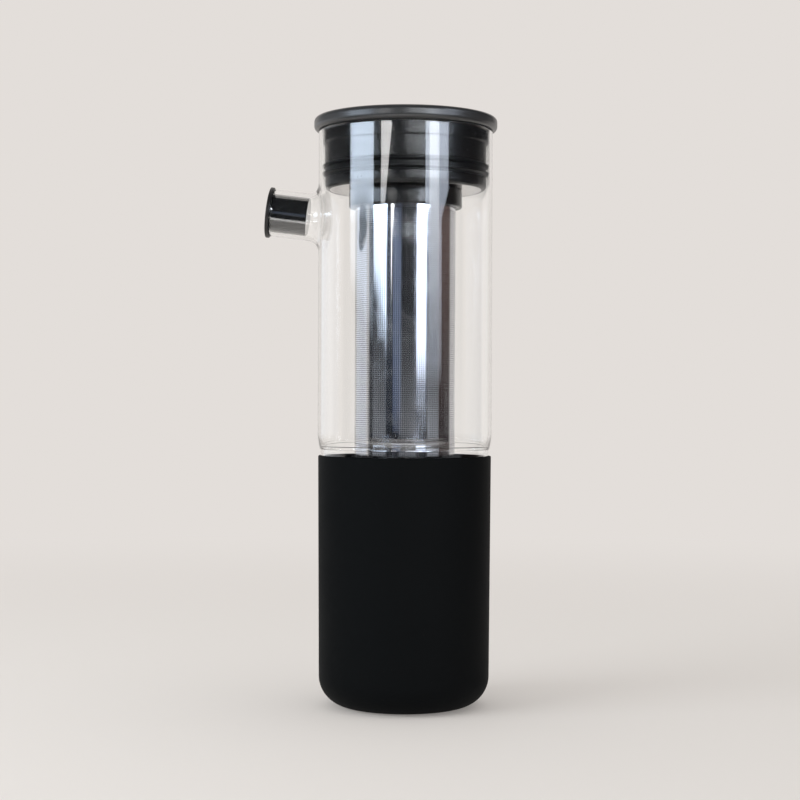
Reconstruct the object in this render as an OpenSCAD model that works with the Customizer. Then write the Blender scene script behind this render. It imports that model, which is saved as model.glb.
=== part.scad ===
// Iced tea pitcher: a tall glass vessel in a silicone sleeve, with a push-in lid that carries
// a steel infuser, and a short side spout closed by a push-in stopper.
// Millimetres. Origin at the centre of the base, +Z up, spout towards -X.

/* [Vessel] */
// Outside diameter of the glass above the sleeve
glass_od = 86.6; // [80:0.2:96]
// Thickness of the glass wall
glass_wall = 1.6; // [1.4:0.1:2.4]
// Thickness of the glass floor
glass_floor = 3.2; // [2.4:0.1:5]
// Height of the glass rim above the table
rim_height = 285; // [278:1:310]
// Height over which the glass curves in above the sleeve
shoulder_rise = 9; // [6:0.2:14]
// How far the glass curves in over that height
shoulder_draw = 1.2; // [0.6:0.1:1.3]
// Rounding of the tight turn under that curve
shoulder_turn = 0.4; // [0.3:0.1:0.6]
// Bare glass between the sleeve's lip and the underside of the shoulder
shoulder_reveal = 3.3; // [1:0.1:6]

/* [Sleeve] */
// Height of the sleeve's lip above the table
sleeve_height = 123.9; // [100:0.1:140]
// Thickness of the sleeve's side
sleeve_wall = 1.1; // [0.9:0.1:2]
// Thickness of the sleeve's floor
sleeve_floor = 2.5; // [1.5:0.1:4]
// Outside radius of the corner between the sleeve's side and floor
sleeve_corner = 14.8; // [10:0.2:18]
// How much smaller the sleeve's radius is at the base than at the lip
sleeve_draft = 0.8; // [0:0.1:1.5]
// How far the sleeve's lip sits inside the glass above it
sleeve_inset = 0.3; // [0:0.1:1]
// Clearance between the sleeve and the glass
sleeve_gap = 0.2; // [0.1:0.05:0.4]
// Radius of the rounded edge of the sleeve's lip
sleeve_lip = 0.5; // [0.3:0.1:0.7]

/* [Spout] */
// Outside diameter of the spout's tube
spout_od = 23.4; // [20:0.2:25]
// Thickness of the spout's tube
spout_wall = 1.9; // [1.5:0.1:2.6]
// Distance from the glass rim down to the spout's axis where it leaves the vessel
spout_drop = 43; // [42:0.2:60]
// Length of the spout from the vessel to its mouth, along its axis
spout_reach = 23.4; // [22:0.1:30]
// Rise of the spout above level, in degrees
spout_tilt = 7; // [0:0.5:15]
// How far the flare where the spout is fused to the vessel stands out at its foot
spout_flare = 5.3; // [2:0.1:6.5]
// Length of that flare along the spout
spout_flare_length = 5; // [2:0.1:5.4]

/* [Stopper] */
// Diameter of the stopper's head
stopper_head_d = 25.2; // [23:0.1:28]
// Thickness of the stopper's head
stopper_head_t = 1.8; // [1.4:0.1:4]
// Rounding of the head's rim
stopper_head_edge = 0.4; // [0.2:0.1:0.7]
// Length of the stopper inside the spout
stopper_depth = 18.1; // [12:0.1:19]
// Gap between the stopper's head and the spout's mouth
stopper_seat = 0.2; // [0.1:0.05:0.3]
// Thickness of the silicone seal round the stopper's core
seal_wall = 1.7; // [1:0.1:2.5]
// Clearance between the seal and the spout's bore
seal_gap = 0.2; // [0.1:0.05:0.4]
// Thickness of the seal's closed end
seal_end_t = 1.2; // [0.8:0.1:2]

/* [Lid] */
// How far the lid stands out past the glass
lid_overhang = 2.25; // [1.5:0.05:5]
// Thickness of the lid's disc
lid_thickness = 6.5; // [5:0.1:9]
// Rounding of the disc's rim
lid_edge = 2.2; // [1:0.1:2.4]
// Clearance between the disc's underside and the glass rim
lid_seat = 0.2; // [0.1:0.05:0.3]
// Depth of the plug below the disc
plug_depth = 29.5; // [27:0.1:32]
// Gap between the plug's side and the glass
plug_gap = 1.6; // [1.2:0.1:2.2]
// Thickness of the plug's side and floor
plug_wall = 2.4; // [2.2:0.1:3]
// Rounding of the plug's lower edge
plug_edge = 1.8; // [1:0.1:2.2]
// Height of the band that centres the plug in the glass
band_height = 6.9; // [4:0.1:9]
// Gap between that band and the glass
band_gap = 0.5; // [0.3:0.1:0.9]
// Length of the cover's spigot inside the plug
spigot_depth = 9; // [5:0.5:14]
// Thickness of the cover's spigot
spigot_wall = 2; // [1.5:0.1:3]
// Thickness of the steel plate under the plug
plate_t = 0.8; // [0.5:0.1:1.2]
// Width of plug left round the steel plate
plate_margin = 2.2; // [1.9:0.1:4]

/* [Gasket] */
// Distance from the disc's underside to the top of the gasket
gasket_drop = 16.9; // [14:0.1:18]
// Height of the gasket
gasket_height = 7; // [6:0.1:8.5]
// Thickness of the gasket's band in its groove
gasket_band = 1.2; // [0.8:0.1:1.4]
// Number of sealing fins
fin_count = 2; // [1:1:3]
// Spacing of the fins
fin_pitch = 3.7; // [2.2:0.1:3.8]
// Thickness of a fin at its root
fin_root = 1.4; // [0.8:0.1:2]
// Thickness of a fin at its tip
fin_tip = 0.6; // [0.4:0.1:0.8]
// Clearance between the fin tips and the glass
fin_gap = 0.3; // [0.2:0.05:0.5]

/* [Infuser] */
// Outside diameter of the collar, whose slot sets the tube's diameter
collar_od = 56.2; // [46:0.2:62]
// Thickness of the collar outside the tube
collar_wall = 3.05; // [2:0.05:5]
// Height of the collar
collar_height = 8.6; // [7.5:0.1:12]
// Length of the infuser from the collar's top to its base
infuser_length = 157.6; // [120:0.2:200]
// Thickness of the perforated sheet
tube_wall = 0.5; // [0.3:0.1:0.8]
// Rounding of the collar's outer edges
collar_edge = 0.8; // [0.3:0.1:1]
// Depth of the slot that the tube sits in
socket_depth = 5.4; // [4:0.1:6]
// Thickness of the collar's lip inside the tube
socket_lip = 1.4; // [1:0.1:2]
// Gap between the collar and the steel plate above it
collar_seat = 0.2; // [0.1:0.05:0.3]
// Gap between the collar's bore and the lid's boss
boss_gap = 0.5; // [0.4:0.05:0.6]
// Depth of the lid's boss inside the collar
boss_depth = 7.4; // [6:0.1:10]
// Thickness of the O-ring on the boss
o_ring_d = 2; // [1.6:0.1:2.4]
// Distance from the boss's end up to the middle of the O-ring
o_ring_rise = 3.8; // [2.6:0.1:4.4]
// Clearance between the O-ring and the collar's bore
o_ring_gap = 0.25; // [0.2:0.05:0.3]
// Height of the ring pressed on the tube's foot
foot_height = 8; // [5:0.5:14]
// Width of the foot ring's lip under the screen
foot_lip = 3; // [1.5:0.1:5]

/* [Hidden] */
$fn = 96;

// Clearance between pieces that are pressed or moulded together
snug = 0.05;
// Length by which a cutting shape runs past the face it cuts
past = 1;

glass_r = glass_od / 2;
bore_r = glass_r - glass_wall;

sleeve_lip_r = glass_r - sleeve_inset;
sleeve_base_r = sleeve_lip_r - sleeve_draft;
recess_r = sleeve_lip_r - sleeve_wall - sleeve_gap;
recess_base_r = recess_r - sleeve_draft;
shoulder_z = sleeve_height + shoulder_reveal;
shoulder_top_z = shoulder_z + shoulder_rise;
floor_corner = sleeve_corner - sleeve_wall;

spout_z = rim_height - spout_drop;
spout_r = spout_od / 2;
spout_bore_r = spout_r - spout_wall;

seal_r = spout_bore_r - seal_gap;
core_r = seal_r - seal_wall;
head_z = spout_reach + stopper_seat;
seal_end_z = spout_reach - stopper_depth;

disc_z = rim_height + lid_seat;
plug_z = disc_z - plug_depth;
plug_r = bore_r - plug_gap;
band_r = bore_r - band_gap;
plug_floor_z = plug_z + plate_t;
plug_inner_r = plug_r - gasket_band - plug_wall;
plate_r = plug_r - plate_margin;

gasket_z = disc_z - gasket_drop - gasket_height;
groove_r = plug_r - gasket_band;
fin_r = bore_r - fin_gap;

tube_r = collar_od / 2 - collar_wall - snug;
collar_bore_r = tube_r - tube_wall - snug - socket_lip;
collar_z = plug_z - collar_seat - collar_height;
infuser_z = collar_z + collar_height - infuser_length;
screen_z = infuser_z + tube_wall + snug;
tube_z = screen_z + tube_wall + snug;
tube_top_z = collar_z + socket_depth;

boss_r = collar_bore_r - boss_gap;
boss_inner_r = boss_r - o_ring_d - plug_wall;
boss_z = collar_z + collar_height - boss_depth;
o_ring_r = collar_bore_r - o_ring_gap - o_ring_d / 2;
o_ring_z = boss_z + o_ring_rise;

// Outlines are drawn as radius along X and height along Y, ready for rotate_extrude.

// A round cup seen as a solid: flat floor, rounded corner and a side that opens by a small draft.
module cup_outline(r_base, r_top, z_base, z_top, corner) {
    draft = atan2(r_top - r_base, z_top - z_base);
    corner_x = r_base - corner * (1 - sin(draft)) / cos(draft);
    polygon([
        [0, z_base],
        [corner_x, z_base],
        [corner_x + corner * cos(draft), z_base + corner * (1 - sin(draft))],
        [r_top, z_top],
        [0, z_top]
    ]);
    translate([corner_x, z_base + corner]) circle(corner);
}

// The end of the wide wall above the sleeve: a long arc inwards, then a tight turn onto a flat underside.
// Each piece runs a little into the one above it, so that no film is left between them.
module shoulder_outline(r_wall, z_low) {
    rise = shoulder_top_z - z_low;
    bow = (rise * rise + shoulder_draw * shoulder_draw) / (2 * shoulder_draw);
    bow_x = r_wall - bow;
    turn_x = bow_x + sqrt(pow(bow - shoulder_turn, 2) - pow(rise - shoulder_turn, 2));
    turn_z = z_low + shoulder_turn;
    reach = bow / (bow - shoulder_turn);
    meet_x = bow_x + (turn_x - bow_x) * reach;
    meet_z = shoulder_top_z + (turn_z - shoulder_top_z) * reach;
    intersection() {
        translate([bow_x, shoulder_top_z]) circle(bow);
        translate([0, meet_z]) square([r_wall, shoulder_top_z - meet_z + snug]);
    }
    polygon([
        [0, z_low],
        [turn_x, z_low],
        [meet_x, meet_z],
        [meet_x, shoulder_top_z + snug],
        [0, shoulder_top_z + snug]
    ]);
    translate([turn_x, turn_z]) circle(shoulder_turn);
}

// The vessel as a solid: cup below, shoulder, straight side above.
module vessel_outline(r_base, r_low, r_high, z_base, z_ledge, z_top, corner) {
    cup_outline(r_base, r_low, z_base, z_ledge, corner);
    shoulder_outline(r_high, z_ledge);
    translate([0, shoulder_top_z]) square([r_high, z_top - shoulder_top_z]);
}

// A flat ring or disc with both outer edges rounded.
module soft_disc_outline(r_in, r_out, z_low, z_high, edge) {
    translate([r_in, z_low]) square([r_out - edge - r_in, z_high - z_low]);
    translate([r_in, z_low + edge]) square([r_out - r_in, z_high - z_low - 2 * edge]);
    for (z = [z_low + edge, z_high - edge])
        translate([r_out - edge, z]) circle(edge);
}

// A plain ring.
module ring_outline(r_in, r_out, z_low, z_high) {
    translate([r_in, z_low]) square([r_out - r_in, z_high - z_low]);
}

// Puts its children on the spout's axis: origin on the vessel's side, +Z out of the spout.
module along_spout() {
    translate([-glass_r, 0, spout_z])
        rotate([0, spout_tilt - 90, 0]) children();
}

// Vessel and sleeve

module silicone_sleeve() {
    color([0.09, 0.09, 0.1])
    rotate_extrude() {
        lip_z = sleeve_height - sleeve_lip;
        difference() {
            cup_outline(sleeve_base_r, sleeve_lip_r, 0, lip_z, sleeve_corner);
            cup_outline(sleeve_base_r - sleeve_wall, sleeve_lip_r - sleeve_wall,
                        sleeve_floor, lip_z + past, floor_corner);
        }
        intersection() {
            soft_disc_outline(sleeve_lip_r - sleeve_wall + snug, sleeve_lip_r,
                              lip_z - 2 * sleeve_lip, sleeve_height, sleeve_lip);
            ring_outline(0, sleeve_lip_r, lip_z, sleeve_height);
        }
    }
}

module vessel_inside() {
    rotate_extrude()
        vessel_outline(recess_base_r - glass_wall, recess_r - glass_wall, bore_r,
                       sleeve_floor + glass_floor, shoulder_z + glass_wall, rim_height + past,
                       floor_corner - glass_wall);
}

module vessel_outside() {
    rotate_extrude()
        vessel_outline(recess_base_r, recess_r, glass_r, sleeve_floor, shoulder_z,
                       rim_height - glass_wall / 2, floor_corner);
}

// The rounded, fire-polished end of a glass wall.
module polished_rim(r_out, wall, z_top) {
    rotate_extrude()
        translate([r_out - wall / 2, z_top - wall / 2]) circle(wall / 2);
}

module spout_tube() {
    translate([0, 0, -spout_r]) cylinder(r = spout_r, h = spout_r + spout_reach - spout_wall / 2);
    polished_rim(spout_r, spout_wall, spout_reach);
    spout_flare_cone();
}

// A cone that runs from the tube into the vessel's round side, and ends within its wall.
module spout_flare_cone() {
    foot_r = spout_r + spout_flare;
    foot_z = sqrt(glass_r * glass_r - foot_r * foot_r) - glass_r;
    slope = spout_flare / (spout_flare_length - foot_z);
    sink = glass_wall / 2;
    translate([0, 0, foot_z - sink])
        cylinder(r1 = foot_r + slope * sink, r2 = spout_r, h = spout_flare_length - foot_z + sink);
}

module glass_body() {
    color([0.86, 0.93, 0.92, 0.4]) {
        difference() {
            union() {
                vessel_outside();
                along_spout() spout_tube();
            }
            vessel_inside();
            along_spout() translate([0, 0, -2 * spout_r])
                cylinder(r = spout_bore_r, h = 2 * spout_r + spout_reach + past);
        }
        polished_rim(glass_r, glass_wall, rim_height);
    }
}

// Lid

module lid_cover() {
    color([0.13, 0.13, 0.14])
    rotate_extrude() {
        soft_disc_outline(0, glass_r + lid_overhang, disc_z, disc_z + lid_thickness, lid_edge);
        spigot_r = plug_inner_r - snug;
        ring_outline(spigot_r - spigot_wall, spigot_r, disc_z - spigot_depth, disc_z);
    }
}

module lid_plug() {
    color([0.06, 0.06, 0.07])
    rotate_extrude()
    difference() {
        union() {
            soft_disc_outline(0, plug_r, plug_z, disc_z - band_height / 2, plug_edge);
            ring_outline(0, band_r, disc_z - band_height, disc_z);
            ring_outline(0, boss_r, boss_z, plug_floor_z);
        }
        ring_outline(0, plug_inner_r, plug_floor_z + plug_wall, disc_z + past);
        ring_outline(0, boss_inner_r, boss_z + plug_wall, disc_z + past);
        ring_outline(groove_r, band_r, gasket_z, gasket_z + gasket_height);
        ring_outline(boss_r, plate_r, plug_z - past, plug_floor_z);
        translate([o_ring_r, o_ring_z]) circle(o_ring_d / 2 + snug);
    }
}

module lid_gasket() {
    color([0.1, 0.1, 0.1])
    rotate_extrude() {
        band_out_r = plug_r - snug;
        ring_outline(groove_r + snug, band_out_r, gasket_z + snug, gasket_z + gasket_height - snug);
        first_z = gasket_z + gasket_height / 2 - (fin_count - 1) * fin_pitch / 2;
        for (i = [0 : fin_count - 1])
            translate([0, first_z + i * fin_pitch])
                polygon([
                    [band_out_r - snug, -fin_root / 2],
                    [fin_r, fin_root / 2 - fin_tip],
                    [fin_r, fin_root / 2],
                    [band_out_r - snug, fin_root / 2]
                ]);
    }
}

module lid_base_plate() {
    color([0.78, 0.78, 0.79])
    rotate_extrude()
        ring_outline(boss_r + snug, plate_r - snug, plug_z, plug_floor_z);
}

module collar_o_ring() {
    color([0.12, 0.12, 0.12])
    rotate_extrude()
        translate([o_ring_r, o_ring_z]) circle(o_ring_d / 2);
}

// Infuser

module infuser_collar() {
    color([0.07, 0.07, 0.08])
    rotate_extrude()
    difference() {
        soft_disc_outline(collar_bore_r, collar_od / 2, collar_z, collar_z + collar_height, collar_edge);
        ring_outline(tube_r - tube_wall - snug, tube_r + snug, collar_z - past, tube_top_z + snug);
    }
}

module infuser_tube() {
    color([0.74, 0.74, 0.76])
    rotate_extrude()
        ring_outline(tube_r - tube_wall, tube_r, tube_z, tube_top_z);
}

module infuser_foot_ring() {
    color([0.7, 0.7, 0.72])
    rotate_extrude() {
        ring_out_r = tube_r + snug + tube_wall;
        ring_outline(tube_r + snug, ring_out_r, infuser_z, infuser_z + foot_height);
        ring_outline(tube_r - foot_lip, ring_out_r, infuser_z, infuser_z + tube_wall);
    }
}

module infuser_screen() {
    color([0.72, 0.72, 0.74])
    translate([0, 0, screen_z]) cylinder(r = tube_r, h = tube_wall);
}

// Spout stopper

module stopper_cap() {
    color([0.08, 0.08, 0.08])
    along_spout()
    rotate_extrude() {
        soft_disc_outline(0, stopper_head_d / 2, head_z, head_z + stopper_head_t, stopper_head_edge);
        ring_outline(0, core_r, seal_end_z + seal_end_t + snug, head_z);
    }
}

module stopper_seal() {
    color([0.05, 0.05, 0.06])
    along_spout()
    rotate_extrude()
    difference() {
        ring_outline(0, seal_r, seal_end_z, head_z - snug);
        ring_outline(0, core_r + snug, seal_end_z + seal_end_t, head_z);
    }
}

silicone_sleeve();
glass_body();
lid_cover();
lid_plug();
lid_gasket();
lid_base_plate();
collar_o_ring();
infuser_collar();
infuser_tube();
infuser_foot_ring();
infuser_screen();
stopper_cap();
stopper_seal();
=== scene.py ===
# %% [markdown]
# # An iced tea pitcher
# The pitcher is a slim glass vessel that stands in a black silicone cup. A push-in lid carries a
# perforated steel infuser, and a short spout on the side is closed by a black stopper. The solid model
# already has every piece in its place, so this lesson loads it as a fixed frame and dresses it: each
# visible piece is made again with clean faces and soft edges, and gets a finish of its own.

# %% Load the solid model
import math

import bmesh
import bpy
from mathutils import Matrix, Vector


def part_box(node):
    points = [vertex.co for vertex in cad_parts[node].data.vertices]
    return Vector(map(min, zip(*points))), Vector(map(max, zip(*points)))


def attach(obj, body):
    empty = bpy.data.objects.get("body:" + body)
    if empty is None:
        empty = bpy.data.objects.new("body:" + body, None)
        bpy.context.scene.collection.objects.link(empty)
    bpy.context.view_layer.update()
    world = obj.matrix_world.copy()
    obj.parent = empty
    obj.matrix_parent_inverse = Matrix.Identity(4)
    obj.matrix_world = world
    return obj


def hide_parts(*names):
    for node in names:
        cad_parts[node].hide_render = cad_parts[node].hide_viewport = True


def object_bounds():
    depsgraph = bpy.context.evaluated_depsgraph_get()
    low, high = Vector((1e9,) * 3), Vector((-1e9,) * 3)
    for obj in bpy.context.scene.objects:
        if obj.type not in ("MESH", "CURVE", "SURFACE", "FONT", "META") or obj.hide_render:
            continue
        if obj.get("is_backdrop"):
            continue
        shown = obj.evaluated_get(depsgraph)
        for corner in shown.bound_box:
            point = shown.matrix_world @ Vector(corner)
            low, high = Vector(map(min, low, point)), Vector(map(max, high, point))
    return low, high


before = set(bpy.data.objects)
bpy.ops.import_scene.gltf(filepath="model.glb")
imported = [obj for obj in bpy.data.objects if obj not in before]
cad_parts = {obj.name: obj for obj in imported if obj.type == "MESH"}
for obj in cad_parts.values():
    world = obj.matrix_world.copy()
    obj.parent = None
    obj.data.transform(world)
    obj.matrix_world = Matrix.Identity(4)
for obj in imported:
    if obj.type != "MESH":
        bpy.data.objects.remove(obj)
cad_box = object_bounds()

MM = 0.001
scene = bpy.context.scene
scene.view_settings.view_transform = "Standard"

# %% [markdown]
# ## Camera
# The picture was taken level, from about half the pitcher's height and nearly a metre away, with the
# spout pointing to the left and a little away. A camera can be placed by eye, but here the outline of
# the glass gives its height, distance and lens, so they are written as numbers. The roll is the small
# lean of the whole picture.

# %% Camera
VIEW_AZIMUTH = math.radians(2.5)
CAMERA_DISTANCE = 874.6 * MM
CAMERA_HEIGHT = 151.57 * MM
CAMERA_SIDESTEP = -2.36 * MM
CAMERA_ROLL = math.radians(0.225)
CAMERA_LENS_MM = 78.98

up = Vector((0, 0, 1))
forward = Vector((-math.sin(VIEW_AZIMUTH), math.cos(VIEW_AZIMUTH), 0))
right = Vector((math.cos(VIEW_AZIMUTH), math.sin(VIEW_AZIMUTH), 0))
rolled_right = right * math.cos(CAMERA_ROLL) + up * math.sin(CAMERA_ROLL)
rolled_up = up * math.cos(CAMERA_ROLL) - right * math.sin(CAMERA_ROLL)

camera = bpy.data.objects.new("camera", bpy.data.cameras.new("camera"))
scene.collection.objects.link(camera)
camera.data.lens = CAMERA_LENS_MM
camera.data.sensor_width = 36
stand = right * CAMERA_SIDESTEP - forward * CAMERA_DISTANCE + up * CAMERA_HEIGHT
turned = Matrix((rolled_right, rolled_up, -forward)).transposed().to_4x4()
camera.matrix_world = Matrix.Translation(stand) @ turned
scene.camera = camera
print("camera at", [round(v, 4) for v in stand], "with a", CAMERA_LENS_MM, "mm lens")

# %% [markdown]
# ## Helpers for node trees
# Materials, node groups and Geometry Nodes trees are all node trees. They could be drawn by hand in the
# editors, but a script can be read and run again. A few small helpers keep the steps short. An input is
# given a value or a link, and a link is written as a node and its output, so that sums, ramps and mixes
# can be put one inside the other.

# %% Node helpers
def feed(tree, node, name, value):
    """Gives an input, by name or number, a value or a link. A link is a node and its output."""
    if isinstance(value, tuple) and isinstance(value[0], bpy.types.Node):
        tree.links.new(value[0].outputs[value[1]], node.inputs[name])
    else:
        node.inputs[name].default_value = value


def put(tree, kind, settings=None, **inputs):
    """Adds a node. Settings are its own options, and inputs are values or links by name."""
    made = tree.nodes.new(kind)
    for name, value in (settings or {}).items():
        setattr(made, name, value)
    for name, value in inputs.items():
        feed(tree, made, name.replace("_", " "), value)
    return made


def chain_nodes(tree, nodes):
    """Joins the first output of each node to the first input of the next."""
    for before, after in zip(nodes, nodes[1:]):
        feed(tree, after, 0, (before, 0))


def number(tree, operation, *terms, kind="ShaderNodeMath", clamp=False):
    """The result of a math node, as a link."""
    settings = {"operation": operation, "use_clamp": True} if clamp else {"operation": operation}
    made = put(tree, kind, settings)
    for i, term in enumerate(terms):
        feed(tree, made, i, term)
    return made, 0


def ramp(tree, value, low, high, start=0.0, end=1.0, smooth=False):
    """A number that goes from start to end while a value goes from low to high, as a link."""
    settings = {"interpolation_type": "SMOOTHSTEP"} if smooth else None
    made = put(tree, "ShaderNodeMapRange", settings, Value=value, From_Min=low, From_Max=high,
               To_Min=start, To_Max=end)
    return made, 0


def mixed_colour(tree, share, first, second):
    """A mix of two colours, as a link."""
    mix = put(tree, "ShaderNodeMix", {"data_type": "RGBA"})
    for i, term in ((0, share), (6, first), (7, second)):
        feed(tree, mix, i, term)
    return mix, 2


def mixed_shader(tree, share, first, second):
    """A mix of two shaders, as a link."""
    mix = put(tree, "ShaderNodeMixShader")
    for i, term in enumerate((share, first, second)):
        feed(tree, mix, i, term)
    return mix, 0


def start_group(name, inputs, outputs):
    """Begins a shader node group with named number sockets."""
    group = bpy.data.node_groups.new(name, "ShaderNodeTree")
    for label, value in inputs.items():
        socket = group.interface.new_socket(label, in_out="INPUT", socket_type="NodeSocketFloat")
        socket.default_value = value
    for label in outputs:
        group.interface.new_socket(label, in_out="OUTPUT", socket_type="NodeSocketFloat")
    return group, put(group, "NodeGroupInput"), put(group, "NodeGroupOutput")


def use_group(tree, group, **inputs):
    """Places a group in a material with that material's own values."""
    return put(tree, "ShaderNodeGroup", {"node_tree": group}, **inputs)


def start_finish(name, **sockets):
    """Begins a material with values on its Principled shader."""
    made = bpy.data.materials.new(name)
    made.use_nodes = True
    tree = made.node_tree
    shader = tree.nodes["Principled BSDF"]
    for label, value in sockets.items():
        feed(tree, shader, label.replace("_", " "), value)
    return made, tree, shader


print("node helpers ready")

# %% [markdown]
# ## Shared effects
# Moulded pieces have a fine grain from the mould, handled pieces have faint smudges, and black surfaces
# show every speck of dust. Several finishes need these, so each effect is a shader group that is built
# once. A group gives out only numbers that change over the surface, and each finish decides what they
# drive. They read Object coordinates, in metres, so a scale of 1000 is a grain of about 1 mm.

# %% Mould grain
def mould_grain_group():
    """Fine even grain: a roughness between two values, and a height for bump."""
    group, given, out = start_group(
        "mould_grain", {"Scale": 1500, "Low": 0.4, "High": 0.5}, ["Roughness", "Height"])
    place = put(group, "ShaderNodeTexCoord")
    noise = put(group, "ShaderNodeTexNoise", Vector=(place, "Object"), Scale=(given, "Scale"), Detail=3,
                Roughness=0.6)
    spread = ramp(group, (noise, "Fac"), 0.3, 0.7, (given, "Low"), (given, "High"))
    feed(group, out, "Roughness", spread)
    feed(group, out, "Height", (noise, "Fac"))
    return group


mould_grain = mould_grain_group()
print("shader group:", mould_grain.name)

# %% Handling haze
def handling_haze_group():
    """Soft smudges some centimetres wide, broken up by finer streaks."""
    group, given, out = start_group("handling_haze", {"Scale": 40, "Amount": 0.1}, ["Haze"])
    place = put(group, "ShaderNodeTexCoord")
    broad = put(group, "ShaderNodeTexNoise", Vector=(place, "Object"), Scale=(given, "Scale"), Detail=4,
                Roughness=0.65, Distortion=0.6)
    patch = ramp(group, (broad, "Fac"), 0.48, 0.72)
    feed(group, out, "Haze", number(group, "MULTIPLY", patch, (given, "Amount")))
    return group


handling_haze = handling_haze_group()
print("shader group:", handling_haze.name)

# %% Dust specks
EMPTY_CELLS = 0.8


def dust_specks_group():
    """Scattered specks under half a millimetre wide. Most cells of the pattern stay empty."""
    group, given, out = start_group(
        "dust_specks", {"Scale": 260, "Size": 0.06, "Amount": 0.3}, ["Speck"])
    place = put(group, "ShaderNodeTexCoord")
    cells = put(group, "ShaderNodeTexVoronoi", Vector=(place, "Object"), Scale=(given, "Scale"))
    chance = put(group, "ShaderNodeSeparateColor", Color=(cells, "Color"))
    picked = number(group, "GREATER_THAN", (chance, "Red"), EMPTY_CELLS)
    near = number(group, "LESS_THAN", (cells, "Distance"), (given, "Size"))
    both = number(group, "MULTIPLY", picked, near)
    feed(group, out, "Speck", number(group, "MULTIPLY", both, (given, "Amount")))
    return group


dust_specks = dust_specks_group()
print("shader group:", dust_specks.name)

# %% [markdown]
# ## Black finishes
# The cup, lid, plug, seals and stopper are all black, and what tells them apart is gloss. Silicone is
# matte and takes up nearly all light, the lid's disc and the stopper's head are satin, the plug is
# glossy, and the stopper's seal is as smooth as if it were wet. One function makes them all, since only
# their numbers differ: grain gives roughness and bump, haze adds to the roughness, and specks lift the
# colour a little.

# %% Black finishes
DUST_COLOUR = (0.42, 0.4, 0.37, 1)
GRAIN_DEPTH = 0.05 * MM


def black_finish(name, colour, grain, low, high, bump, haze, specks, **sockets):
    """A black moulded material. Low and high are the ends of its roughness."""
    made, tree, shader = start_finish(name, **sockets)
    grains = use_group(tree, mould_grain, Scale=grain, Low=low, High=high)
    hazes = use_group(tree, handling_haze, Amount=haze)
    dusts = use_group(tree, dust_specks, Amount=specks)
    bumped = put(tree, "ShaderNodeBump", Strength=bump, Distance=GRAIN_DEPTH, Height=(grains, "Height"))
    rough = number(tree, "ADD", (grains, "Roughness"), (hazes, "Haze"), clamp=True)
    feed(tree, shader, "Roughness", rough)
    feed(tree, shader, "Base Color", mixed_colour(tree, (dusts, "Speck"), (*colour, 1), DUST_COLOUR))
    feed(tree, shader, "Normal", (bumped, "Normal"))
    return made


silicone_black = black_finish(
    "silicone_black", (0.0028, 0.0036, 0.0042), 2200, 0.6, 0.72, 0.25, 0.05, 0.02,
    Specular_IOR_Level=0.06)
lid_black = black_finish(
    "lid_black", (0.03, 0.0315, 0.034), 2600, 0.26, 0.34, 0.12, 0.06, 0.1, Specular_IOR_Level=0.7)
plug_black = black_finish(
    "plug_black", (0.002, 0.0022, 0.0025), 900, 0.2, 0.25, 0.03, 0.05, 0.02, Specular_IOR_Level=0.62)
seal_black = black_finish(
    "seal_black", (0.0025, 0.0028, 0.003), 1200, 0.3, 0.38, 0.05, 0.05, 0.02, Specular_IOR_Level=0.26)
wet_seal_black = black_finish(
    "wet_seal_black", (0.009, 0.0095, 0.01), 1200, 0.06, 0.1, 0.02, 0.03, 0.02, Specular_IOR_Level=0.8,
    Coat_Weight=1.0, Coat_Roughness=0.05)
stopper_black = black_finish(
    "stopper_black", (0.011, 0.011, 0.0115), 2400, 0.34, 0.44, 0.12, 0.05, 0.2,
    Specular_IOR_Level=0.45)
print("black finishes:", [m.name for m in bpy.data.materials if m.name.endswith("_black")])

# %% [markdown]
# ## The flat top of the lid
# The picture doesn't show the top of the lid, so its finish is a choice. As glossy as the edge, it
# mirrored the lit panels as plain white when seen from behind, so it is duller, as a top with a coarser
# mould texture is. It could be a second material on the top faces. Here the height decides: a ramp on
# the Object Z coordinate adds to the roughness just under the top, and the rounded edge stays satin.

# %% Duller lid top
TOP_RAMP = (0.15 * MM, 0.03 * MM)
TOP_DULLING = 0.5


def dull_top(made, top):
    """Adds to the roughness of a finish in a thin layer below a height."""
    tree = made.node_tree
    shader = tree.nodes["Principled BSDF"]
    before = shader.inputs["Roughness"].links[0].from_node
    place = put(tree, "ShaderNodeTexCoord")
    split = put(tree, "ShaderNodeSeparateXYZ", Vector=(place, "Object"))
    rise = ramp(tree, (split, "Z"), top - TOP_RAMP[0], top - TOP_RAMP[1], 0, TOP_DULLING)
    feed(tree, shader, "Roughness", number(tree, "ADD", (before, 0), rise, clamp=True))


lid_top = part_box("lid_cover")[1].z
dull_top(lid_black, lid_top)
print("the lid is duller above", round((lid_top - TOP_RAMP[0]) / MM, 2), "mm")

# %% [markdown]
# ## Steel finishes
# The infuser is rolled from polished sheet, so its mirror is drawn out into streaks along the tube. A
# streak is noise that is stretched along Z: the Mapping node squeezes the height before the noise reads
# it. The streaks tilt the normal a little and change the roughness, and the shared haze dulls some
# patches, as dried tea and fingers do. Behind the holes lies the back of the sheet's inner face: there
# the shader, which can tell the back of a face, takes a dull dark colour, which is painted shade.

# %% Steel finishes
# Painted shade: the colour of the back of a face, seen through the holes, is near-black.
HOLE_SHADE_COLOUR = (0.008, 0.008, 0.008, 1)
INSIDE_ROUGHNESS = 0.6
STREAK_SQUEEZE = (1, 1, 0.012)
STREAK_SCALE = 420
STREAK_DULLING = 0.06
STREAK_SHADE = (0.86, 0.86, 0.87)


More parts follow.
